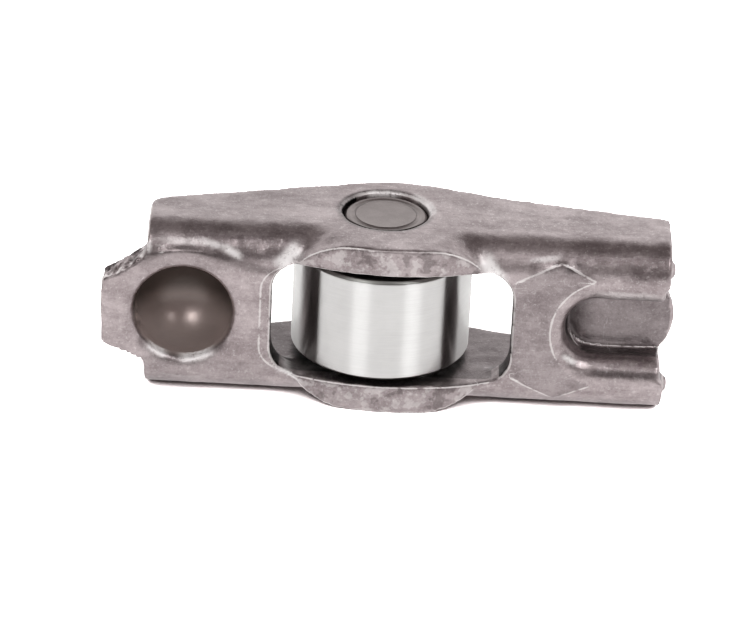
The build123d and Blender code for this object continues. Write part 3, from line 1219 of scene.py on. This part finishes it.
@dataclass
class StampedBody:
    """The rocker body as pressed and tumbled: the CAD solid with soft edges, ripples and torn cuts.

    Sizes are in millimetres and angles in degrees.
    """

    node: str = "rocker_body"
    outer_angle: float = 28.0
    inner_angle: float = 18.0
    merge: float = 0.002
    voxel: float = 0.225
    sharp_fade: Span = (0.5, 1.0)
    polish: int = 7
    polish_shares: Span = (0.5, -0.30)
    fill_share: float = 0.6
    ripple: float = 0.014
    ripple_length: float = 2.6
    dimple: float = 0.007
    dimple_length: float = 0.9
    fine_waves: int = 60
    tear: float = 0.16
    tear_most: float = 2.2
    tear_length: float = 1.9
    crack_length: float = 0.855
    cut_calm: float = 0.6
    coined_polish: int = 2
    coined_reach: float = 0.6
    coined_clear: Span = (0.10, 0.45)
    shoulder_reach: float = 0.9
    shoulder_clear: Span = (0.15, 0.6)
    shoulder_passes: int = 30
    seam_reach: float = 0.45
    seam_clear: Span = (0.15, 0.5)
    seam_passes: int = 12
    seam_share: float = 0.8
    lip_radius: float = 4.75
    lip_fade: Span = (0.7, 1.3)
    lip_side: Span = (1.5, 3.0)
    lip_passes: int = 24
    bend_start: float = 5.02
    bend_y: float = -3.38
    bend_radius: float = 3.52
    coined_sink: float = 0.40
    roll_depth: float = 0.32
    hidden: tuple[Region, ...] = (
        Region(x=(-11.6, -8.2), y=below(-6.3), side=below(5.6)),
        Region(x=(10.0, 12.75), y=below(-6.3), side=below(5.6)),
        Region(x=(19.6, 20.2), y=below(-6.3), side=(4.6, 5.8)),
        GrooveMouth.covered,
    )
    ledge: Region = Region(x=(12.1, 20.1), side=above(5.02))
    coined: Region = Region(x=(11.8, 20.4), y=below(-5.6), side=above(4.6))
    socket_lip: Region = Region(y=below(-5.2))
    filled: tuple[Region, ...] = (
        Region(x=(-10.5, -4.5), y=(-7.4, -3.0), side=above(4.9)),
        Region(x=(5.8, 12.0), y=(-7.4, -3.0), side=above(4.9)),
        Region(x=below(-9.0), y=below(-3.0), z=below(-3.8)),
    )

    def build(self, material: bpy.types.Material) -> bpy.types.Object:
        """Makes the piece and puts it in the CAD node's place.

        Args:
            material: its finish.

        Returns:
            The piece.
        """
        cad = self._merged()
        cad.faces.ensure_lookup_table()
        nearest = BVHTree.FromBMesh(cad).find_nearest
        outer = SharpEdges.of(cad, True, self.outer_angle, self.hidden)
        inner = SharpEdges.of(cad, False, self.inner_angle, self.hidden)
        GrooveMouth().add(cad)
        mesh = self._remeshed(cad)
        cad.free()
        points = self._softened(mesh, outer, inner)
        write_points(mesh, points)
        normals = read_rows(mesh.vertices, "normal")
        zone = Zones(points, np.array([nearest(Vector(p))[1] for p in points]))
        rolled = zone.rolled()
        lowered = np.maximum(points[:, 1], zone.web + rolled * self.roll_depth)
        points[:, 1] = np.where(rolled > 0, lowered, points[:, 1])
        points = points + normals * self._relief(points, zone)[:, None]
        points = np.clip(points, *(np.array(corner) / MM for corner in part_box(self.node)))
        write_points(mesh, points * MM)
        # Several masks carry painted light: the shade masks, the highlight mask, and the edge lines, which
        # are partly painted edge highlight.
        masks = {
            "rim": outer.measure(points)[1].clip(-zone.no_line, zone.no_line),
            "edge_line_strength": zone.edge_line_strength(),
            "coin": zone.coin(),
            "torn": zone.torn(),
            "painted_highlight": zone.painted_highlight(),
            "dark_and_shade": zone.dark_and_shade(inner.measure(points)[0]),
            "shade_and_tone_mask": zone.shade_and_tone_mask(),
            "cup": zone.cup(),
            "cut": zone.cut(),
        }
        for name, values in masks.items():
            paint(mesh, name, values)
        piece = show(mesh, "stamped_body", material)
        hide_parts(self.node)
        return piece

    def _relief(self, points: np.ndarray, zone: Zones) -> np.ndarray:
        """How far the metal stands out.

        Args:
            points: the skin's vertices.
            zone: the worked places among them.

        Returns:
            The gentle waves of the sheet, less what is torn away.
        """
        waves = Waves(11, self.ripple_length).at(points) * self.ripple
        waves += Waves(12, self.dimple_length, self.fine_waves).at(points) * self.dimple
        waves *= (1 - zone.cup()) * (1 - self.cut_calm * zone.cut())
        rough = Waves(13, self.tear_length, self.fine_waves).at(points)
        crack = Waves(14, self.crack_length, self.fine_waves).at(points)
        torn_away = (0.9 + 0.8 * rough + 0.45 * crack).clip(0, self.tear_most)
        return waves - zone.torn() * self.tear * torn_away

    def _merged(self) -> bmesh.types.BMesh:
        """The CAD node's mesh, merged, in millimetres.

        Returns:
            A mesh that is freed after use.
        """
        bm = bmesh.new()
        bm.from_mesh(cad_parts[self.node].data)
        bmesh.ops.transform(bm, matrix=Matrix.Scale(1 / MM, 4), verts=bm.verts)
        bmesh.ops.remove_doubles(bm, verts=bm.verts, dist=self.merge)
        bm.normal_update()
        bm.edges.index_update()
        bm.verts.index_update()
        return bm

    def _remeshed(self, bm: bmesh.types.BMesh) -> bpy.types.Mesh:
        """An even skin of small squares over the CAD solid.

        Args:
            bm: the merged solid.

        Returns:
            The skin.
        """
        source = bpy.data.meshes.new("stamped_body_source")
        bm.to_mesh(source)
        holder = bpy.data.objects.new("stamped_body_source", source)
        bpy.context.scene.collection.objects.link(holder)
        remesh = holder.modifiers.new("skin", "REMESH")
        remesh.mode = "VOXEL"
        remesh.voxel_size = self.voxel
        remesh.use_smooth_shade = True
        mesh = made_plain(holder, "stamped_body")
        bpy.data.meshes.remove(source)
        return mesh

    def _softened(self, mesh: bpy.types.Mesh, outer: SharpEdges, inner: SharpEdges) -> np.ndarray:
        """Rounds the skin's edges and fills its corners.

        Args:
            mesh: the skin.
            outer: the CAD body's outer edges.
            inner: its inner edges.

        Returns:
            The moved vertices. Those far from an edge stay on the CAD's faces.
        """
        points = read_rows(mesh.vertices, "co")
        edges = np.empty(len(mesh.edges) * 2, np.int32)
        mesh.edges.foreach_get("vertices", edges)
        edges = edges.reshape(-1, 2)
        count = np.bincount(edges.ravel(), minlength=len(points))[:, None].clip(1)

        def moved(start: np.ndarray, weight: np.ndarray, share: float) -> np.ndarray:
            """The points moved by a share of the way to the middle of their neighbours.

            Args:
                start: the points.
                weight: how much each one moves.
                share: of the way.

            Returns:
                The moved points.
            """
            total = np.zeros_like(start)
            for axis in range(3):
                total[:, axis] = np.bincount(edges[:, 0], start[edges[:, 1], axis], len(start))
                total[:, axis] += np.bincount(edges[:, 1], start[edges[:, 0], axis], len(start))
            return start + share * weight[:, None] * (total / count - start)

        out, _ = outer.measure(points)
        inn, _ = inner.measure(points)
        x, y, z = points.T
        bend = self.bend_y - np.sqrt((self.bend_radius**2 - (np.abs(z) - self.bend_start) ** 2).clip(0, None))
        points[:, 1] += self.coined_sink * (self.ledge.holds(points) & (y < bend)) * (bend - y)
        coined = self.coined.holds(points)
        filled = np.logical_or.reduce([region.holds(points) for region in self.filled])
        ring = 1 - step(np.abs(np.hypot(x - Zones.pivot[0], z) - self.lip_radius), *self.lip_fade)
        lip = ring * step(-z, *self.lip_side) * self.socket_lip.holds(points)
        sharp = 1 - step(np.minimum(out, inn), *self.sharp_fade)
        for i in range(self.polish):
            weight = sharp * (~coined | (i < self.coined_polish))
            for share in self.polish_shares:
                points = moved(points, weight, share)
        for _ in range(self.lip_passes):
            points = moved(points, lip, self.fill_share)
        shoulder = np.exp(-((inn / self.shoulder_reach) ** 2)) * filled * step(out, *self.shoulder_clear)
        flat = np.exp(-((inn / self.coined_reach) ** 2)) * coined * step(out, *self.coined_clear)
        seam = np.exp(-((inn / self.seam_reach) ** 2)) * ~coined * step(out, *self.seam_clear)
        fill = np.maximum(shoulder, flat)
        for i in range(self.shoulder_passes):
            weight = np.maximum(fill, self.seam_share * seam if i < self.seam_passes else 0)
            points = moved(points, weight, self.fill_share)
        return points


# ---------------- turned parts
@dataclass
class TurnedPart:
    """A part made on the lathe, in place of a CAD node. Millimetres."""

    node: str
    name: str
    turns: int
    arc_steps: int

    def corners(self) -> list[tuple[float, float, float]]:
        """The (radius, height, rounding) of the section's corners, in order."""
        raise NotImplementedError

    def build(self, material: bpy.types.Material) -> bpy.types.Object:
        """Makes the piece.

        Args:
            material: its finish.

        Returns:
            The piece.
        """
        profile = [(r * MM, h * MM) for r, h in rounded(self.corners(), self.arc_steps)]
        piece = show(lathe(self.name, profile, self.turns), self.name, material)
        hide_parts(self.node)
        return piece


@dataclass
class AxlePin(TurnedPart):
    """The axle: its staked ends show a ring left by the punch."""

    node: str = "axle_pin"
    name: str = "turned_axle"
    turns: int = 192
    arc_steps: int = 5
    edge: float = 0.42
    ring: float = 3.15
    ring_width: float = 0.26
    ring_depth: float = 0.12
    dish: float = 0.05

    def corners(self) -> list[tuple[float, float, float]]:
        """Lists the corners.

        Returns:
            Those from one end's middle to the other's.
        """
        _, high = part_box(self.node)
        radius, half = high.x / MM, high.z / MM
        end = [
            (0.0, half - self.dish, 0.0),
            (self.ring - 2 * self.ring_width, half - self.dish / 2, 0.30),
            (self.ring - self.ring_width, half, 0.10),
            (self.ring, half - self.ring_depth, 0.10),
            (self.ring + self.ring_width, half, 0.08),
            (radius - self.edge, half, 0.12),
            (radius, half - self.edge, 0.14),
        ]
        return end + [(r, -h, c) for r, h, c in reversed(end)]


@dataclass
class CamRoller(TurnedPart):
    """The ring that the cam runs on, with rounded rims."""

    node: str = "roller_ring"
    name: str = "ground_roller"
    turns: int = 256
    arc_steps: int = 6
    rim: float = 0.30
    crown: float = 0.012
    crown_rounding: float = 2.5
    bore_edge: float = 0.25
    bore: float = field(kw_only=True)

    def corners(self) -> list[tuple[float, float, float]]:
        """Lists the corners.

        Returns:
            Those from the bore's lower edge round to its upper edge.
        """
        _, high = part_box(self.node)
        radius, half = high.x / MM, high.z / MM
        upper = [
            (radius - self.crown, half - self.rim, 0.16),
            (radius - self.rim, half, 0.10),
            (self.bore + self.bore_edge, half, 0.08),
            (self.bore, half - self.bore_edge, 0.08),
        ]
        lower = [(r, -h, c) for r, h, c in reversed(upper)]
        return [*lower, (radius, 0.0, self.crown_rounding), *upper]


class NeedleInput(Enum):
    """The named inputs of the needles' node tree, with their socket types."""

    COUNT = ("Count", "NodeSocketInt")
    PITCH = ("Pitch Radius", "NodeSocketFloat")
    RADIUS = ("Needle Radius", "NodeSocketFloat")
    LENGTH = ("Needle Length", "NodeSocketFloat")
    SIDES = ("Sides", "NodeSocketInt")


@dataclass
class NeedleComplement:
    """The full complement of needles, laid round the axle by Geometry Nodes. Millimetres."""

    prefix: str = "needle_"
    sides: int = 32
    clearance: float = 0.02

    def names(self) -> list[str]:
        """The CAD needles in order."""
        return sorted(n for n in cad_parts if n.startswith(self.prefix))

    def sizes(self) -> tuple[float, float, float]:
        """Pitch radius, needle radius and length, in metres, from the first needle."""
        low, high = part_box(self.names()[0])
        return (low.x + high.x) / 2, (high.y - low.y) / 2, high.z - low.z

    def bore(self) -> float:
        """The radius of the roller's bore, just clear of the needles."""
        pitch, radius, _ = self.sizes()
        return (pitch + radius) / MM + self.clearance

    def _tree(self, material: bpy.types.Material) -> bpy.types.NodeTree:
        """Builds the node tree.

        Args:
            material: the needles' finish.

        Returns:
            A tree that lays needles on a circle.
        """
        tree = bpy.data.node_groups.new("needle_circle", "GeometryNodeTree")
        sockets = [("Geometry", "NodeSocketGeometry"), *(named.value for named in NeedleInput)]
        for label, kind in sockets:
            tree.interface.new_socket(label, in_out="INPUT", socket_type=kind)
        tree.interface.new_socket("Geometry", in_out="OUTPUT", socket_type="NodeSocketGeometry")

        def add(kind: str, links: dict[str, bpy.types.NodeSocket]) -> bpy.types.Node:
            """Adds a node.

            Args:
                kind: its type.
                links: what its inputs are linked to, by name.

            Returns:
                The node.
            """
            made = tree.nodes.new(kind)
            for label, source in links.items():
                tree.links.new(source, made.inputs[label])
            return made

        given = add("NodeGroupInput", {}).outputs
        count, pitch, radius, length, sides = (given[named.value[0]] for named in NeedleInput)
        circle = add("GeometryNodeMeshCircle", {"Vertices": count, "Radius": pitch})
        bar = add("GeometryNodeMeshCylinder", {"Vertices": sides, "Radius": radius, "Depth": length})
        bar.fill_type = "NGON"
        ends = {"Geometry": bar.outputs["Mesh"], "Selection": bar.outputs["Side"]}
        smooth = add("GeometryNodeSetShadeSmooth", ends)
        smooth.domain = "FACE"
        placed = {"Points": circle.outputs["Mesh"], "Instance": smooth.outputs["Geometry"]}
        lay = add("GeometryNodeInstanceOnPoints", placed)
        real = add("GeometryNodeRealizeInstances", {"Geometry": lay.outputs["Instances"]})
        dress = add("GeometryNodeSetMaterial", {"Geometry": real.outputs["Geometry"]})
        dress.inputs["Material"].default_value = material
        add("NodeGroupOutput", {"Geometry": dress.outputs["Geometry"]})
        return tree

    def build(self, material: bpy.types.Material) -> bpy.types.Object:
        """Makes the piece.

        Args:
            material: the needles' finish.

        Returns:
            All needles as one plain mesh.
        """
        tree = self._tree(material)
        holder = bpy.data.objects.new("needle_holder", bpy.data.meshes.new("needle_holder"))
        bpy.context.scene.collection.objects.link(holder)
        laid = holder.modifiers.new("needles", "NODES")
        laid.node_group = tree
        sockets = {i.name: i.identifier for i in tree.interface.items_tree if i.in_out == "INPUT"}
        for named, value in zip(NeedleInput, (len(self.names()), *self.sizes(), self.sides)):
            laid[sockets[named.value[0]]] = value
        piece = show(made_plain(holder, "needle_complement"), "needle_complement", material)
        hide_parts(*self.names())
        return piece


# ---------------- the studio
@dataclass(frozen=True)
class Softbox:
    """A square soft light that faces the object. Degrees, metres and watts."""

    name: str
    azimuth: float
    power: float
    elevation: float = 48.0
    distance: float = 0.9
    size: float = 0.26

    def build(self, target: Vector) -> None:
        """Hangs the lamp.

        Args:
            target: the point that it faces.
        """
        data = bpy.data.lights.new(self.name, "AREA")
        data.shape, data.size, data.energy = "SQUARE", self.size, self.power
        lamp = bpy.data.objects.new(self.name, data)
        a, e = math.radians(self.azimuth), math.radians(self.elevation)
        away = Vector((math.sin(a) * math.cos(e), -math.cos(a) * math.cos(e), math.sin(e)))
        turn = away.to_track_quat("Z", "Y").to_matrix().to_4x4()
        lamp.matrix_world = Matrix.Translation(target + away * self.distance) @ turn
        bpy.context.scene.collection.objects.link(lamp)


@dataclass(frozen=True)
class Fade:
    """A light level that falls between two heights of the surroundings."""

    start: float
    low: float
    high: float
    fall: float

    def at(self, height: Value) -> Value:
        """The level at a height."""
        return self.start - height.between(self.low, self.high) * self.fall


@dataclass
class Studio:
    """White floor, soft light and the camera. The eye is in millimetres, the angles in degrees."""

    elevation: float = 27.19
    roll: float = 2.91
    lens: float = 207.515
    sensor: float = 36.0
    clip: Span = (0.01, 20.0)
    eye: tuple[float, float, float] = (-1.28333, -359.29932, 181.60179)
    boxes: tuple[Softbox, ...] = (Softbox("softbox_left", -30.0, 1.7), Softbox("softbox_right", 48.0, 1.8))
    wall: Fade = Fade(1.30, 0.46, 0.90, 1.08)
    room: Fade = Fade(1.05, 0.03, 0.20, 0.83)
    wall_from: Span = (-0.40, 0.25)
    dim_light: Colour = (1.0, 0.87, 0.86)
    full_light: Colour = (1.0, 0.985, 0.98)
    warm_levels: Span = (0.2, 0.7)
    floor_size: float = 6.0
    floor_gap: float = 0.00001
    floor_matt: Colour = (0.86, 0.86, 0.86)
    floor_seen: Colour = (3.6, 3.6, 3.6)
    floor_glow: float = 0.04
    # Painted shadow where the object stands on the floor; then the floor's glow, painted bounce light for
    # reflections, and the painted shadow behind the object in that glow.
    contact_shadow: Colour = (0.24, 0.22, 0.22)
    contact_reach: float = 3.5 * MM
    contact_levels: Span = (0.12, 0.29)
    bounce: Colour = (1.0, 0.99, 0.99)
    bounce_power: float = 0.56
    shelter_reach: float = 30 * MM
    shelter_levels: Span = (0.45, 1.0)
    behind: Span = (-4 * MM, 4 * MM)

    def camera(self) -> None:
        """Makes the camera."""
        e, r = math.radians(self.elevation), math.radians(self.roll)
        back = Vector((0, -math.cos(e), math.sin(e)))
        across, upward = Vector((1, 0, 0)), Vector((0, math.sin(e), math.cos(e)))
        right = across * math.cos(r) + upward * math.sin(r)
        up = upward * math.cos(r) - across * math.sin(r)
        data = bpy.data.cameras.new("camera")
        data.lens, data.sensor_width = self.lens, self.sensor
        data.clip_start, data.clip_end = self.clip
        camera = bpy.data.objects.new("camera", data)
        turn = Matrix((right, up, back)).transposed().to_4x4()
        camera.matrix_world = Matrix.Translation(Vector(self.eye) * MM) @ turn
        bpy.context.scene.collection.objects.link(camera)
        bpy.context.scene.camera = camera

    def world(self) -> None:
        """Makes the surroundings: a bright wall behind, a dim room in front, and white to the camera."""
        world = bpy.data.worlds.new("studio")
        bpy.context.scene.world = world
        s = Shader(world)
        height = s.along("Z", "Generated")
        wall, room = self.wall.at(height), self.room.at(height)
        grey = room + s.along("Y", "Generated").between(*self.wall_from) * (wall - room)
        warm = s.blend(grey.between(*self.warm_levels), self.dim_light, self.full_light)
        light = s.node("ShaderNodeBackground", {}, {"Color": warm, "Strength": grey})
        seen = s.node("ShaderNodeBackground", {}, {"Color": WHITE})
        camera_ray = s.node("ShaderNodeLightPath", {}, {}, "Is Camera Ray")
        s.end(s.either(camera_ray, light, seen), "ShaderNodeOutputWorld")

    def floor(self) -> None:
        """Makes the white floor. Where the object stands on it, the camera sees a shadow painted from ambient
        occlusion; for other rays the floor is matt and glows, and the glow is turned down behind the object.
        """
        half = self.floor_size / 2
        height = CAD_BOX[0].z - self.floor_gap
        corners = [(x * half, y * half, height) for x, y in ((-1, -1), (1, -1), (1, 1), (-1, 1))]
        mesh = bpy.data.meshes.new("floor")
        mesh.from_pydata(corners, [], [(0, 1, 2, 3)])
        s = Shader.material("floor_white")

        def matt(colour: Colour) -> Value:
            """A matt surface of that colour."""
            return s.node("ShaderNodeBsdfDiffuse", {}, {"Color": colour})

        def lit(surface: Value, colour: Colour, power: Value | float) -> Value:
            """That surface with a glow of its own."""
            glow = s.node("ShaderNodeEmission", {}, {"Color": colour, "Strength": power})
            return s.node("ShaderNodeAddShader", {}, {0: surface, 1: glow})

        def openness(reach: float, samples: int) -> Value:
            """How open the sky is, judged within that reach."""
            return s.node("ShaderNodeAmbientOcclusion", {"samples": samples}, {"Distance": reach}, "AO")

        # Painted shadow: where little sky is open, the camera sees a dark matt floor.
        near_sky = openness(self.contact_reach, 16).between(*self.contact_levels)
        bright = lit(matt(self.floor_seen), WHITE, self.floor_glow)
        # Painted shadow in the floor's glow, turned down behind the object where it is sheltered.
        sheltered = 1 - openness(self.shelter_reach, 4).between(*self.shelter_levels)
        open_floor = 1 - s.along("Y").between(*self.behind) * sheltered
        under = lit(matt(self.floor_matt), self.bounce, open_floor * self.bounce_power)
        camera_ray = s.node("ShaderNodeLightPath", {}, {}, "Is Camera Ray")
        seen = s.either(near_sky, matt(self.contact_shadow), bright)
        show(mesh, "floor", s.end(s.either(camera_ray, under, seen)))

    def build(self) -> None:
        """Sets up the whole studio."""
        bpy.context.scene.view_settings.view_transform = "Standard"
        for box in self.boxes:
            box.build((CAD_BOX[0] + CAD_BOX[1]) / 2)
        self.world()
        self.floor()
        self.camera()


def main() -> None:
    """Builds the model and its studio."""
    logging.basicConfig(level=logging.INFO, format="%(message)s")
    Studio().build()
    needles = NeedleComplement()
    made = (
        (StampedBody().build(StampedSteel().build()), "arm", "sheet_steel"),
        (AxlePin().build(AXLE_STEEL.build()), "arm", "axle_steel"),
        (CamRoller(bore=needles.bore()).build(GroundSteel().build()), "roller", "ground_steel"),
        (needles.build(NEEDLE_STEEL.build()), "needle_set", "needle_steel"),
    )
    for piece, body, slot in made:
        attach(piece, body)
        LOG.info("%s on %s: %d faces", piece.name, body, len(piece.data.polygons))


if __name__ == "__main__":
    main()
